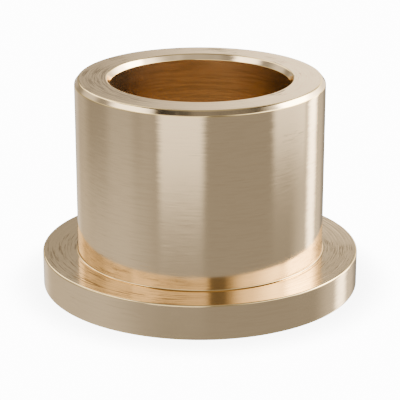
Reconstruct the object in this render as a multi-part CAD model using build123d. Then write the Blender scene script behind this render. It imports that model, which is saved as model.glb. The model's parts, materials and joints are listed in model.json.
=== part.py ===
from build123d import *
import os

# Flanged sleeve bushing, turned in one piece from bronze bar. Millimetres, +Z up.
# The origin is the centre of the flange's thrust face, and the sleeve stands along +Z.

# Seats and running surfaces
bore_diameter = 25.0
sleeve_diameter = 35.0
flange_diameter = 45.0
flange_thickness = 5.0
total_length = 30.0

# Lead-in chamfer on the sleeve's free end, which guides it into the housing
lead_in_depth = 0.55
lead_in_length = 0.7
lead_in_round = 0.3

# Chamfer at each mouth of the bore, so that the shaft enters without scraping
mouth_depth = 0.5
mouth_length = 0.8
mouth_round = 0.2

# Corner radii of the flange
root_fillet = 0.2  # left by the tool's nose where the sleeve meets the flange
rim_round = 0.2


def half_section():
    """The face to one side of the axis: metal from the bore out to the sleeve and the flange rim."""
    bore_radius = bore_diameter / 2
    mouth_radius = bore_radius + mouth_depth
    sleeve_radius = sleeve_diameter / 2
    flange_radius = flange_diameter / 2
    # Each corner is its distance from the axis, its height and its radius.
    corners = [
        (mouth_radius, 0, mouth_round),
        (flange_radius, 0, rim_round),
        (flange_radius, flange_thickness, rim_round),
        (sleeve_radius, flange_thickness, root_fillet),
        (sleeve_radius, total_length - lead_in_length, lead_in_round),
        (sleeve_radius - lead_in_depth, total_length, lead_in_round),
        (mouth_radius, total_length, mouth_round),
        (bore_radius, total_length - mouth_length, mouth_round),
        (bore_radius, mouth_length, mouth_round),
    ]
    outline = FilletPolyline(
        [(distance, 0, height) for distance, height, _ in corners],
        radius=[radius for _, _, radius in corners],
        close=True,
    )
    return make_face(outline)


def flanged_bushing():
    """The whole bushing: one closed ring of metal, with the sleeve and flange in one piece."""
    return revolve(half_section(), Axis.Z)


os.makedirs("parts", exist_ok=True)
export_step(flanged_bushing(), "parts/flanged_bushing.step")
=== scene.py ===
"""The looks of a flanged bronze sleeve bushing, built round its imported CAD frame. Metres, +Z up.

One piece of turned bronze stands on a plain pale floor. The light is a white studio: cards and soft
boxes painted on the world by their direction, so that they stay put whichever way the camera looks.
"""

import json
import math
import random

import bmesh
import bpy
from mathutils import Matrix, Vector


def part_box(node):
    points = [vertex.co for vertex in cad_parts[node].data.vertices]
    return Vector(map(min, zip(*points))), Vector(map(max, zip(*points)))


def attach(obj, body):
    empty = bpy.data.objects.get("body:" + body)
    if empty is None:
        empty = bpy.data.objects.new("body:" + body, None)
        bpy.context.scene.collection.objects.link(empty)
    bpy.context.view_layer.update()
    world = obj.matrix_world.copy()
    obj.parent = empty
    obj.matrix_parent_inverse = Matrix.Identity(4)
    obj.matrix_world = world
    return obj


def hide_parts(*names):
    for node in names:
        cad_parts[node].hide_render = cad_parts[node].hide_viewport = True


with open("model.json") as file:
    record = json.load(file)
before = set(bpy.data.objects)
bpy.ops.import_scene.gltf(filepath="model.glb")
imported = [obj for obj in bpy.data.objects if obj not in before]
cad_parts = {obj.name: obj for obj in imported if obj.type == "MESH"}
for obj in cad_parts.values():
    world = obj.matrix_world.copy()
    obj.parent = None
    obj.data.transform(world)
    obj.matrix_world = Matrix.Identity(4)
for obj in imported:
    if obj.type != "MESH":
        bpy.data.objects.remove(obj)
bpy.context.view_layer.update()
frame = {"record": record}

MM = 0.001

# Edges of the bushing, in millimetres: the same as on the CAD solid
LEAD_IN_DEPTH = 0.55
LEAD_IN_LENGTH = 0.7
LEAD_IN_ROUND = 0.3
MOUTH_DEPTH = 0.5
MOUTH_LENGTH = 0.8
MOUTH_ROUND = 0.2
ROOT_FILLET = 0.2
RIM_ROUND = 0.2

# Grooves that the facing tool left on the flat faces, in millimetres: one per turn of the work
GROOVE_PITCH = 0.5
GROOVE_DEPTH = 0.006
GROOVE_SHALLOWEST = 0.15  # of the full depth
GROOVE_SEED = 7

# Mesh density, with lengths in millimetres
SEGMENTS = 256
ARC_STEPS = 5
WALL_STEP = 1.5
GROOVE_STEPS = 5
SUPPORT = 0.06  # how far a supporting loop stands from each corner arc

# The three finishes, in the order of the mesh's materials
TURNED, FACED, BORED = range(3)
BORE_MARGIN = 0.002  # a face this close to the bore's radius, in millimetres, is on the bore's wall
FLAT = 0.95  # a face whose normal is this close to upright is on a flat face

# Camera, with lengths in millimetres
VIEW_ELEVATION = math.radians(19.22)
VIEW_DISTANCE = 234.9
VIEW_AIM_HEIGHT = 11.82
LENS = 148.3
SENSOR_WIDTH = 36

# Light level that the film shows as white
WHITE = 6.5


# ---------------------------------------------------------------- shape


def dimensions():
    """The bushing's driving sizes in millimetres, read from the frame and its mounts."""
    low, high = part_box("flanged_bushing")
    mounts = {mount["name"]: mount for mount in frame["record"]["mounts"]}
    return {
        "bore": mounts["bore"]["dims"]["r_mm"],
        "sleeve": mounts["sleeve_od"]["dims"]["r_mm"],
        "flange": (high.x - low.x) / 2 / MM,
        "thickness": mounts["flange_shoulder"]["pos_m"][2] / MM,
        "length": (high.z - low.z) / MM,
    }


def section_corners(size):
    """Corners of the half section as (distance from the axis, height, corner radius)."""
    mouth = size["bore"] + MOUTH_DEPTH
    return [
        (mouth, 0, MOUTH_ROUND),
        (size["flange"], 0, RIM_ROUND),
        (size["flange"], size["thickness"], RIM_ROUND),
        (size["sleeve"], size["thickness"], ROOT_FILLET),
        (size["sleeve"], size["length"] - LEAD_IN_LENGTH, LEAD_IN_ROUND),
        (size["sleeve"] - LEAD_IN_DEPTH, size["length"], LEAD_IN_ROUND),
        (mouth, size["length"], MOUTH_ROUND),
        (size["bore"], size["length"] - MOUTH_LENGTH, MOUTH_ROUND),
        (size["bore"], MOUTH_LENGTH, MOUTH_ROUND),
    ]


def corner_arc(before, corner, after, radius):
    """Points of the arc of that radius that is tangent to both runs at a corner."""
    to_before = (before - corner).normalized()
    to_after = (after - corner).normalized()
    half_angle = to_before.angle(to_after) / 2
    centre = corner + (to_before + to_after).normalized() * radius / math.sin(half_angle)
    start = corner + to_before * radius / math.tan(half_angle) - centre
    end = corner + to_after * radius / math.tan(half_angle) - centre
    turns = [start.slerp(end, step / ARC_STEPS) for step in range(ARC_STEPS + 1)]
    return [centre + turn.normalized() * radius for turn in turns]


def wall_points(start, end):
    """Points between two arcs: even steps, with a supporting loop near each end."""
    length = (end - start).length
    direction = (end - start) / length
    support = min(SUPPORT, length / 4)
    steps = max(1, math.ceil((length - 2 * support) / WALL_STEP))
    spacing = (length - 2 * support) / steps
    return [start + direction * (support + spacing * step) for step in range(steps + 1)]


def faced_points(start, end, inward, chance):
    """Points across a flat face: shallow grooves of uneven depth, cut into the metal side by side."""
    length = (end - start).length - 2 * SUPPORT
    direction = (end - start).normalized()
    grooves = round(length / GROOVE_PITCH)
    points = [start + direction * SUPPORT]
    for groove in range(grooves):
        depth = GROOVE_DEPTH * chance.uniform(GROOVE_SHALLOWEST, 1)
        for step in range(1, GROOVE_STEPS + 1):
            across = step / GROOVE_STEPS
            cut = depth * math.sin(math.pi * across) ** 2
            along = SUPPORT + length * (groove + across) / grooves
            points.append(start + direction * along + inward * cut)
    return points


def section_outline(size):
    """The closed half section as (point, mark) pairs.

    The mark is 1 on a worn outer corner's arc, -1 on the root's arc, whose colour is painted shade, and 0
    on a run.
    """
    corners = section_corners(size)
    points = [Vector((distance, height)) for distance, height, _ in corners]
    count = len(corners)
    arcs = [
        corner_arc(points[n - 1], points[n], points[(n + 1) % count], corners[n][2])
        for n in range(count)
    ]
    chance = random.Random(GROOVE_SEED)
    outline = []
    for n, arc in enumerate(arcs):
        start = arc[-1]
        end = arcs[(n + 1) % count][0]
        if abs(start.y - end.y) < SUPPORT:
            inward = Vector((0, 1 if start.y < SUPPORT else -1))
            run = faced_points(start, end, inward, chance)
        else:
            run = wall_points(start, end)
        turn = (points[n] - points[n - 1]).cross(points[(n + 1) % count] - points[n])
        # outer corners carry 1 for their wear, the root -1 for its painted shade
        outline += [(point, math.copysign(1.0, turn)) for point in arc]
        outline += [(point, 0.0) for point in run]
    return outline


def turned_mesh(name, outline):
    """The outline turned about Z into a closed mesh, with its marks of wear and painted root shade kept on
    each point.
    """
    mesh = bpy.data.meshes.new(name)
    shape = bmesh.new()
    wear_and_root_shade = shape.verts.layers.float.new("wear_and_root_shade")
    rings = []
    for segment in range(SEGMENTS):
        angle = 2 * math.pi * segment / SEGMENTS
        ring = []
        for point, amount in outline:
            distance, height = point * MM
            vertex = shape.verts.new((distance * math.cos(angle), distance * math.sin(angle), height))
            vertex[wear_and_root_shade] = amount
            ring.append(vertex)
        rings.append(ring)
    for segment, ring in enumerate(rings):
        following = rings[(segment + 1) % SEGMENTS]
        for n in range(len(outline)):
            after = (n + 1) % len(outline)
            face = shape.faces.new((ring[n], following[n], following[after], ring[after]))
            face.smooth = True
    bmesh.ops.recalc_face_normals(shape, faces=shape.faces)
    shape.to_mesh(mesh)
    shape.free()
    return mesh


# ---------------------------------------------------------------- node helpers


class Nodes:
    """Short calls for the few kinds of node that these materials and the world use."""

    def __init__(self, tree):
        self.tree = tree
        tree.nodes.clear()

    def add(self, kind, **settings):
        node = self.tree.nodes.new(kind)
        for name, value in settings.items():
            setattr(node, name, value)
        return node

    def put(self, socket, value):
        """Sets a socket, or links it if value is another node's output."""
        if isinstance(value, bpy.types.NodeSocket):
            self.tree.links.new(value, socket)
        else:
            socket.default_value = value

    def math(self, operation, first, second=0.0):
        node = self.add("ShaderNodeMath", operation=operation)
        self.put(node.inputs[0], first)
        self.put(node.inputs[1], second)
        return node.outputs[0]

    def vector(self, operation, first, second=None):
        node = self.add("ShaderNodeVectorMath", operation=operation)
        self.put(node.inputs[0], first)
        if second is not None:
            self.put(node.inputs[1], second)
        return node.outputs["Vector"]

    def scaled(self, vector, scale):
        node = self.add("ShaderNodeVectorMath", operation="SCALE")
        self.put(node.inputs["Vector"], vector)
        self.put(node.inputs["Scale"], scale)
        return node.outputs["Vector"]

    def product(self, *factors):
        result = factors[0]
        for factor in factors[1:]:
            result = self.math("MULTIPLY", result, factor)
        return result

    def total(self, *terms):
        result = terms[0]
        for term in terms[1:]:
            result = self.math("ADD", result, term)
        return result

    def ramp(self, value, start, end, low=0.0, high=1.0):
        """Smooth change from low to high as value goes from start to end."""
        node = self.add("ShaderNodeMapRange", interpolation_type="SMOOTHSTEP")
        self.put(node.inputs["Value"], value)
        self.put(node.inputs["From Min"], start)
        self.put(node.inputs["From Max"], end)
        self.put(node.inputs["To Min"], low)
        self.put(node.inputs["To Max"], high)
        return node.outputs["Result"]

    def noise(self, vector, detail=2.0, roughness=0.5):
        """Noise from 0 to 1, with one cell for each unit of the vector."""
        node = self.add("ShaderNodeTexNoise", noise_dimensions="3D")
        self.put(node.inputs["Vector"], vector)
        self.put(node.inputs["Scale"], 1.0)
        self.put(node.inputs["Detail"], detail)
        self.put(node.inputs["Roughness"], roughness)
        return node.outputs["Fac"]

    def swing(self, noise, reach):
        """Noise about its middle, from minus to plus half of the reach."""
        return self.product(self.total(noise, -0.5), reach)

    def combine(self, x, y, z):
        node = self.add("ShaderNodeCombineXYZ")
        for socket, value in zip(node.inputs, (x, y, z)):
            self.put(socket, value)
        return node.outputs[0]

    def blend_colour(self, factor, first, second):
        node = self.add("ShaderNodeMix", data_type="RGBA")
        self.put(node.inputs["Factor"], factor)
        self.put(node.inputs["A"], first)
        self.put(node.inputs["B"], second)
        return node.outputs["Result"]

    def split(self, vector):
        node = self.add("ShaderNodeSeparateXYZ")
        self.put(node.inputs[0], vector)
        return node.outputs

    def surface(self, shader, output="ShaderNodeOutputMaterial"):
        """Ends a material, or a world with its own kind of output, with that shader."""
        self.put(self.add(output).inputs["Surface"], shader.outputs[0])


def blank_material(name):
    """A new material, and the nodes to fill it with."""
    material = bpy.data.materials.new(name)
    material.use_nodes = True
    return material, Nodes(material.node_tree)


def placed(name, data):
    """A new object in the scene, at the origin."""
    item = bpy.data.objects.new(name, data)
    bpy.context.scene.collection.objects.link(item)
    return item


# ---------------------------------------------------------------- bronze

# Base colours
BRONZE = (0.90, 0.695, 0.445, 1.0)
BRONZE_BORED = (0.90, 0.71, 0.495, 1.0)  # a little paler, on the bore's wall
BRONZE_RUBBED = (0.95, 0.71, 0.38, 1.0)  # rubbed bright, on the outer corners
BRONZE_ROOT_SHADE = (0.85, 0.60, 0.30, 1.0)  # painted shade: a deeper orange in the corner between the sleeve and the flange, for light bounced between them
BRONZE_DULL = (0.20, 0.14, 0.08, 1.0)  # in the scratches and the tool marks
BRONZE_EDGE = (0.97, 0.89, 0.77, 1.0)  # tints what the metal reflects at a low angle

# Highlights are drawn out across the tool marks
ANISOTROPY = 0.25
ANISOTROPY_TURN = 0.25  # of a full turn from the tangent

# How far tool marks, scratches and the worn corners change the roughness
MARK_ROUGHNESS = 0.06
SCRATCH_ROUGHNESS = 0.12
WEAR_POLISH = 0.03

# Patterns, in cells per radian around the axis and per millimetre across the tool marks. The shifts give
# each pattern its own stretch of the noise.
MARK_ACROSS = 4.0
MARK_SHOWS = (0.46, 0.60)  # between these levels of its noise, a tool mark turns from bright to dull
WANDER_AROUND = 5.0
WANDER_ACROSS = 4.5
WANDER_SHIFT = 31.0
PATCH_AROUND = 2.2
PATCH_ACROSS = 0.25
PATCH_SHIFT = 11.0
PATCH_SHOWS = (0.50, 0.66)  # between these levels of the patches' noise, scratches come in
SCRATCH_SHIFT = 57.0
SCRATCH_FAINT = 0.10  # a scratch starts this far above the middle of its noise, at a coverage of 1
SCRATCH_FULL = 0.20  # and is full this far above it

# The part was handled on its two sides, a little to the front: a unit step that way has these parts
HANDLED_SIDEWAYS = 0.94
HANDLED_FORWARD = 0.34
HANDLED_SHOWS = (0.76, 0.99)  # how squarely a place has to face a handled side
HANDLED = 0.22  # what that adds to the patches' noise
HANDLED_BELOW_END = (10, 5)  # millimetres: over this stretch the handling of the +X side fades out

# Beside the bore, the end face is worn on the handled side: millimetres out from the bore's wall
WORN_START = (0.4, 0.8)
WORN_END = (2.3, 4.3)
WORN_SHOWS = (0.55, 0.85)  # how squarely a place has to face the handled side
WORN_STREAK = (0.46, 0.55)  # between these levels of its noise, a scratch shows there


def place(nodes):
    """Where a point of the bushing is: its x, y and z, and its distance from the axis."""
    x, y, z = nodes.split(nodes.add("ShaderNodeTexCoord").outputs["Object"])
    distance = nodes.math("SQRT", nodes.total(nodes.product(x, x), nodes.product(y, y)))
    return x, y, z, distance


def turning(nodes, around, across, shift=0.0):
    """Places for a pattern of streaks that follow the turning.

    Around is cells per radian, and across is cells per millimetre along the axis or away from it. Going
    round by cosine and sine leaves no seam.
    """
    x, y, z, distance = place(nodes)
    along = nodes.product(nodes.total(distance, z), across / MM)
    return nodes.combine(
        nodes.product(nodes.math("DIVIDE", x, distance), around),
        nodes.product(nodes.math("DIVIDE", y, distance), around),
        nodes.total(along, shift),
    )


def leaning_normal(nodes, tangent, around, across):
    """The surface normal, tipped by small slopes around the axis and across the tool marks."""
    upright = nodes.add("ShaderNodeNewGeometry").outputs["Normal"]
    cross = nodes.vector("CROSS_PRODUCT", upright, tangent)
    tipped = nodes.vector("ADD", upright, nodes.scaled(tangent, around))
    tipped = nodes.vector("ADD", tipped, nodes.scaled(cross, across))
    return nodes.vector("NORMALIZE", tipped)


def near_free_end(nodes, length):
    """0 over the lower part of the sleeve, rising to 1 as a place comes near the free end."""
    _, _, z, _ = place(nodes)
    start, end = ((length - below) * MM for below in HANDLED_BELOW_END)
    return nodes.ramp(z, start, end)


def facing_handled(nodes, free_end):
    """How squarely a place faces a handled side, at most 1. Near the free end +X isn't one."""
    x, y, _, distance = place(nodes)
    plus_side = nodes.product(x, nodes.math("SUBTRACT", 1.0, free_end))
    sideways = nodes.math("MAXIMUM", nodes.product(x, -1.0), plus_side)
    return nodes.total(
        nodes.product(nodes.math("DIVIDE", sideways, distance), HANDLED_SIDEWAYS),
        nodes.product(nodes.math("DIVIDE", y, distance), -HANDLED_FORWARD),
    )


def worn_end(nodes, bore, free_end, facing):
    """The worn part of the end face: 1 beside the bore on the handled side, and 0 elsewhere."""
    _, _, _, distance = place(nodes)
    start = [(bore + out) * MM for out in WORN_START]
    end = [(bore + out) * MM for out in WORN_END]
    return nodes.product(
        nodes.ramp(distance, *start),
        nodes.ramp(distance, *end, 1.0, 0.0),
        free_end,
        nodes.ramp(facing, *WORN_SHOWS),
    )


def scratches(nodes, around, across, coverage):
    """Broken scratches along the turning, gathered in patches and where the part was handled most."""
    size = dimensions()
    streak = nodes.noise(turning(nodes, around, across, SCRATCH_SHIFT), roughness=0.7)
    patch = nodes.noise(turning(nodes, PATCH_AROUND, PATCH_ACROSS, PATCH_SHIFT))
    free_end = near_free_end(nodes, size["length"])
    facing = facing_handled(nodes, free_end)
    handled = nodes.product(nodes.ramp(facing, *HANDLED_SHOWS), HANDLED)
    gathered = nodes.ramp(nodes.total(patch, handled), *PATCH_SHOWS)
    shown = nodes.ramp(streak, 0.5 + SCRATCH_FAINT / coverage, 0.5 + SCRATCH_FULL / coverage)
    worn = worn_end(nodes, size["bore"], free_end, facing)
    return nodes.math(
        "MAXIMUM",
        nodes.product(shown, gathered),
        nodes.product(nodes.ramp(streak, *WORN_STREAK), worn),
    )


def bronze_colour(nodes, metal, wear_and_root_shade, dulling):
    """The metal's colour: rubbed on the outer corners, painted shade in the root, and dulled in scratches
    and tool marks.
    """
    outer_corner = nodes.math("MAXIMUM", wear_and_root_shade, 0.0)
    root_shade = nodes.math("MAXIMUM", nodes.product(wear_and_root_shade, -1.0), 0.0)
    colour = nodes.blend_colour(outer_corner, metal, BRONZE_RUBBED)
    # painted shade: the root turns a deeper orange, for light bounced between the sleeve and the flange
    colour = nodes.blend_colour(root_shade, colour, BRONZE_ROOT_SHADE)
    return nodes.blend_colour(dulling, colour, BRONZE_DULL)


def bronze(
    name,
    roughness,
    lean_around,
    lean_across,
    scratch_around,
    scratch_across,
    coverage,
    darkness,
    scratch_lean,
    mark_around,
    grain,
    metal=BRONZE,
):
    """Bearing bronze off the lathe: fine circular tool marks, broken scratches and bright corners.

    The leans are how far the surface tips, in radians, around the axis and across the tool marks.
    Scratches have their pattern, coverage, darkness and lean, and tool marks their length and grain.
    """
    material, nodes = blank_material(name)
    # 1 on worn outer corners, -1 on the root, whose colour is painted shade
    wear_and_root_shade = nodes.add("ShaderNodeAttribute", attribute_name="wear_and_root_shade").outputs["Fac"]
    tangent = nodes.add("ShaderNodeTangent", direction_type="RADIAL", axis="Z").outputs["Tangent"]

    marks = nodes.noise(turning(nodes, mark_around, MARK_ACROSS), detail=3.0, roughness=0.65)
    wander = nodes.noise(turning(nodes, WANDER_AROUND, WANDER_ACROSS, WANDER_SHIFT))
    scratch = scratches(nodes, scratch_around, scratch_across, coverage)

    dulling = nodes.total(
        nodes.product(scratch, darkness),
        nodes.product(nodes.ramp(marks, *MARK_SHOWS), grain),
    )
    varied_roughness = nodes.total(
        roughness,
        nodes.swing(marks, MARK_ROUGHNESS),
        nodes.product(scratch, SCRATCH_ROUGHNESS),
        nodes.product(nodes.math("ABSOLUTE", wear_and_root_shade), -WEAR_POLISH),
    )
    around = nodes.swing(wander, lean_around)
    across = nodes.total(nodes.swing(marks, lean_across), nodes.product(scratch, scratch_lean))

    shader = nodes.add("ShaderNodeBsdfPrincipled")
    shader.inputs["Metallic"].default_value = 1.0
    shader.inputs["Specular Tint"].default_value = BRONZE_EDGE
    shader.inputs["Anisotropic"].default_value = ANISOTROPY
    shader.inputs["Anisotropic Rotation"].default_value = ANISOTROPY_TURN
    nodes.put(shader.inputs["Base Color"], bronze_colour(nodes, metal, wear_and_root_shade, dulling))
    nodes.put(shader.inputs["Roughness"], varied_roughness)
    nodes.put(shader.inputs["Normal"], leaning_normal(nodes, tangent, around, across))
    nodes.put(shader.inputs["Tangent"], tangent)
    nodes.surface(shader)
    return material


def turned_bronze():
    """The walls and chamfers, finish turned, with short faint ticks."""
    return bronze(
        "turned_bronze",
        roughness=0.12,
        lean_around=0.045,
        lean_across=0.02,
        scratch_around=5.0,
        scratch_across=5.0,
        coverage=1.1,
        darkness=0.10,
        scratch_lean=-0.02,
        mark_around=5.0,
        grain=0.04,
    )


def faced_bronze():
    """The flat faces: longer and darker arcs from the facing tool."""
    return bronze(
        "faced_bronze",
        roughness=0.13,
        lean_around=0.03,
        lean_across=0.05,
        scratch_around=3.2,
        scratch_across=5.8,
        coverage=2.5,
        darkness=0.8,
        scratch_lean=0.06,
        mark_around=5.0,
        grain=0.06,
    )


def bored_bronze():
    """The bore's wall, which the boring bar leaves rougher, with longer marks and hardly a scratch."""
    return bronze(
        "bored_bronze",
        roughness=0.22,
        lean_around=0.04,
        lean_across=0.10,
        scratch_around=4.0,
        scratch_across=4.0,
        coverage=0.3,
        darkness=0.0,
        scratch_lean=0.0,
        mark_around=2.5,
        grain=0.27,
        metal=BRONZE_BORED,
    )


# ---------------------------------------------------------------- studio

DEGREE = 180 / math.pi
EVERYWHERE = 999  # a card with this edge has no edge on that side

# Each piece of the light covers directions from the bushing: azimuth from, to, elevation from, to, level,
# softness of its sides and of its ends. Angles are in degrees. Azimuth 0 faces the camera, and it grows
# towards +X. Levels add up where pieces overlap, and a negative one takes light away, as a black flag does.
CARDS = {
    "ambient": (-999, 999, -999, 999, 0.45, 1, 1),
    "back_low": (180, 999, -999, -5, 0.4, 10, 6),
    "left_rim": (-999, -148, -999, -5, 0.28, 5, 6),
    "left_foot": (-999, -142, -999, -21, 0.15, 6, 1.5),
    "left_low": (-999, -48, -999, -18.5, 0.35, 28, 2),
    "left_edge": (-999, -126, -19, 5, 0.25, 10, 3),
    "left_side": (-92, -62, -19, 12, 0.19, 8, 2),
    "left_gap": (-56, -40, -19, 0, 0.12, 6, 2),
    "front_low": (-37, 3, -19.0, 5, 1.35, 4, 1.0),
    "front_high": (-66, 7, 5, 42, 0.7, 3, 3),
    "front_brow": (-34, 34, 42, 50, 0.3, 8, 3),
    "front_flag": (8, 24, 6, 40, -0.2, 3, 4),
    "left_high": (-136, -66, 12, 25, 0.6, 8, 4),
    "left_high_glow": (-98, -40, 12, 25, 0.5, 8, 4),
    "left_back_high": (-999, -140, 16, 30, 1.3, 8, 3),
    "right_low": (70, 112, -17.4, 12, 1.4, 4, 1.0),
    "right_high": (30, 80, 5, 60, 0.4, 8, 3),
    "foot_back": (136, 152, -40, -5, 0.4, 6, 8),
    "right_edge_high": (136, 162, 12, 26, 0.5, 6, 3),
    "back_right": (137, 180, -6, 19, 1.4, 5, 3),
    "back_mid": (150, 190, 8, 17, 0.25, 12, 4),
}
BOXES = {
    "left_box": (-96, -54, 34, 52, 3.2, 6, 3),
    "left_box_back": (-124, -96, 36, 46, 2.6, 6, 3),
    "front_top": (-12, 64, 50, 72, 0.15, 8, 4),
    "right_rise": (36, 140, 8, 38, 1.0, 10, 5),
    "right_glow": (62, 138, 8, 44, 2.2, 18, 6),
    "key": (89, 131, 24, 41, 7.5, 5, 3),
    "key_low": (90, 134, 8, 25, 2.6, 8, 3),
    "key_foot": (117, 132, -17, 8, 5.6, 5, 4),
    "key_foot_low": (118, 132, -40, -17, 3.2, 5, 4),
    "foot_glow": (100, 142, -40, -17, 0.4, 12, 4),
    "overhead": (-999, 999, 62, 999, 0.4, 1, 6),
    "back_high": (140, 999, 24, 62, 0.5, 10, 5),
    "right_back": (131, 150, 26, 60, 1.2, 8, 5),
    "left_back": (-999, -122, 26, 60, 2.3, 8, 5),
}
TURN = 15  # the azimuth runs from -165 to 195, and a card that reaches either end of it stops there
CARD_COLOUR = (0.8, 0.8, 0.8, 1.0)
BACKDROP_COLOUR = (1.0, 1.0, 1.0, 1.0)

# The canopy over the set keeps light off the cards above an edge that is higher at the front
CANOPY_LEAN = 0.4
CANOPY_EDGE = 0.60
CANOPY_SOFTNESS = 0.025
CANOPY_SHADE = 0.15


def card(nodes, azimuth, elevation, sides, ends, level, side_softness, end_softness):
    """A rectangle of light in the directions between its sides and ends, with soft edges."""
    edges = []
    for value, (start, end), softness in (
        (azimuth, sides, side_softness),
        (elevation, ends, end_softness),
    ):
        if start > -EVERYWHERE:
            edges.append(nodes.ramp(value, start - softness, start + softness))
        if end < EVERYWHERE:
            edges.append(nodes.ramp(value, end - softness, end + softness, 1.0, 0.0))
    return nodes.product(level, *edges) if edges else level


def light_from(nodes, azimuth, elevation, cards):
    """The light of all those cards together."""
    light = 0.0
    for start, end, low, high, level, side_softness, end_softness in cards.values():
        light = nodes.total(
            light,
            card(nodes, azimuth, elevation, (start, end), (low, high), level, side_softness, end_softness),
        )
    return light


def angles(nodes, direction):
    """The azimuth and elevation of a direction, in degrees."""
    turned = nodes.add("ShaderNodeVectorRotate", rotation_type="Z_AXIS")
    nodes.put(turned.inputs["Vector"], direction)
    turned.inputs["Angle"].default_value = math.radians(-TURN)
    x, y, z = nodes.split(turned.outputs[0])
    angle = nodes.math("ARCTAN2", x, nodes.product(y, -1.0))
    azimuth = nodes.total(nodes.product(angle, DEGREE), TURN)
    elevation = nodes.product(nodes.math("ARCSINE", z), DEGREE)
    return azimuth, elevation


def under_canopy(nodes, direction):
    """How much of the cards' light the canopy lets through from a direction: all of it below the edge."""
    _, y, z = nodes.split(direction)
    height = nodes.total(z, nodes.product(nodes.math("MINIMUM", y, 0.0), CANOPY_LEAN))
    start = CANOPY_EDGE - CANOPY_SOFTNESS
    end = CANOPY_EDGE + CANOPY_SOFTNESS
    return nodes.ramp(height, start, end, 1.0, CANOPY_SHADE)


def background(nodes, colour, strength):
    node = nodes.add("ShaderNodeBackground")
    node.inputs["Color"].default_value = colour
    nodes.put(node.inputs["Strength"], strength)
    return node


def studio():
    """The world: light by direction, and plain white wherever the camera sees past the floor."""
    world = bpy.data.worlds.new("studio")
    world.use_nodes = True
    nodes = Nodes(world.node_tree)
    direction = nodes.add("ShaderNodeTexCoord").outputs["Generated"]
    azimuth, elevation = angles(nodes, direction)
    light = nodes.total(
        nodes.product(light_from(nodes, azimuth, elevation, CARDS), under_canopy(nodes, direction)),
        light_from(nodes, azimuth, elevation, BOXES),
    )
    lit = background(nodes, CARD_COLOUR, light)
    backdrop = background(nodes, BACKDROP_COLOUR, WHITE)
    choose = nodes.add("ShaderNodeMixShader")
    nodes.put(choose.inputs[0], nodes.add("ShaderNodeLightPath").outputs["Is Camera Ray"])
    nodes.put(choose.inputs[1], lit.outputs[0])
    nodes.put(choose.inputs[2], backdrop.outputs[0])
    nodes.surface(choose, "ShaderNodeOutputWorld")
    bpy.context.scene.world = world


FLOOR_HALF = 3.0  # half the floor's width, in metres
FLOOR_GAP = 0.02 * MM  # under the bushing, so that the two don't share a plane
SHADE_REACH = 7 * MM  # out from the flange's rim
SHADE_DEPTH = 0.35  # of the floor's light, lost at the rim
SHADED_LEVEL = 0.53  # of the floor inside the bore, which little light reaches
DISC_SEGMENTS = 64


def glow(nodes, strength):
    """Ends a floor's material with white light of its own, which takes no shadow and no reflection."""
    emission = nodes.add("ShaderNodeEmission")
    nodes.put(emission.inputs["Strength"], strength)
    nodes.surface(emission)


def floor():
    """A wide pale floor just under the bushing, with a faint soft shade round the flange."""
    mesh = bpy.data.meshes.new("floor")
    signs = ((-1, -1), (1, -1), (1, 1), (-1, 1))
    corners = [(x * FLOOR_HALF, y * FLOOR_HALF, -FLOOR_GAP) for x, y in signs]
    mesh.from_pydata(corners, [], [(0, 1, 2, 3)])
    plane = placed("floor", mesh)
    plane.visible_glossy = False
    plane.visible_diffuse = False

    material, nodes = blank_material("pale_floor")
    distance = nodes.add("ShaderNodeVectorMath", operation="LENGTH")
    nodes.put(distance.inputs[0], nodes.add("ShaderNodeTexCoord").outputs["Object"])
    rim = dimensions()["flange"] * MM
    shaded = WHITE * (1 - SHADE_DEPTH)
    glow(nodes, nodes.ramp(distance.outputs["Value"], rim, rim + SHADE_REACH, shaded, WHITE))
    mesh.materials.append(material)


def shaded_floor():
    """The floor that shows in the bore's wall: a disc under the bore, in the bushing's own shade."""
    radius = (dimensions()["bore"] + MOUTH_DEPTH) * MM
    mesh = bpy.data.meshes.new("shaded_floor")
    shape = bmesh.new()
    bmesh.ops.create_circle(shape, cap_ends=True, radius=radius, segments=DISC_SEGMENTS)
    shape.to_mesh(mesh)
    shape.free()
    disc = placed("shaded_floor", mesh)
    disc.location.z = -FLOOR_GAP / 2
    material, nodes = blank_material("shaded_floor")
    glow(nodes, SHADED_LEVEL)
    mesh.materials.append(material)


def camera():
    """The photograph's viewpoint: in front, a little above, through a long lens."""
    lens = bpy.data.cameras.new("camera")
    lens.sensor_width = SENSOR_WIDTH
    lens.lens = LENS
    eye = placed("camera", lens)
    back = VIEW_DISTANCE * math.cos(VIEW_ELEVATION) * MM
    up = (VIEW_AIM_HEIGHT + VIEW_DISTANCE * math.sin(VIEW_ELEVATION)) * MM
    eye.location = (0, -back, up)
    eye.rotation_euler = (math.pi / 2 - VIEW_ELEVATION, 0, 0)
    bpy.context.scene.camera = eye


# ---------------------------------------------------------------- the part


def finish_at(face, size):
    """Which of the three finishes a face has."""
    if abs(face.normal.z) > FLAT:
        return FACED
    if Vector(face.center[:2]).length / MM < size["bore"] + BORE_MARGIN:
        return BORED
    return TURNED


def bushing():
    """The whole bushing as one turned piece, in place of its plain CAD node."""
    size = dimensions()
    mesh = turned_mesh("turned_bushing", section_outline(size))
    for finish in (turned_bronze(), faced_bronze(), bored_bronze()):
        mesh.materials.append(finish)
    for face in mesh.polygons:
        face.material_index = finish_at(face, size)
    piece = placed("turned_bushing", mesh)
    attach(piece, "root")
    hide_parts("flanged_bushing")


bushing()
floor()
shaded_floor()
studio()
camera()

view = bpy.context.scene.view_settings
view.view_transform = "AgX"
view.look = "AgX - Medium High Contrast"
